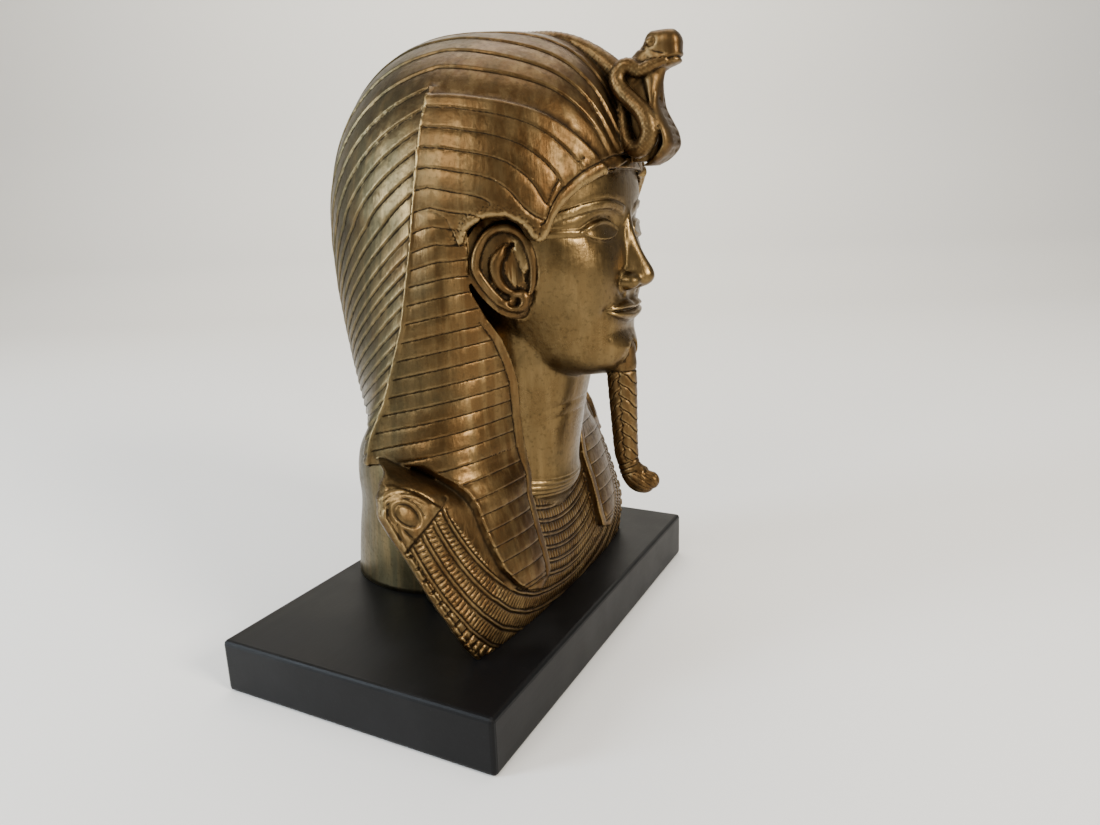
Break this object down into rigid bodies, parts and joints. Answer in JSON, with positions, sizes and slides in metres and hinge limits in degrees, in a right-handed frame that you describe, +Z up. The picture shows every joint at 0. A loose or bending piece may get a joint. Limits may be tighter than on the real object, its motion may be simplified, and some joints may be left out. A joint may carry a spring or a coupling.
{
  "type": "pharaoh bust sculpture",
  "caption": "Bust of a pharaoh in a striped headdress with a cobra on the brow, a plaited beard and a broad collar, on a rectangular black plinth.",
  "frame": {"origin": "centre of the plinth's underside", "axes": "+X towards the figure's own left, -Y the way the face looks, +Z up"},
  "size_m": [0.2794, 0.2246, 0.3554],
  "materials": {
    "aged_bronze": "antique bronze: brown and olive patina, dark in the hollows, rubbed bright on the edges, satin",
    "black_wood": "satin black paint"
  },
  "bodies": {
    "root": {"pharaoh_bust": "aged_bronze", "plinth": "black_wood"}
  },
  "joints": []
}
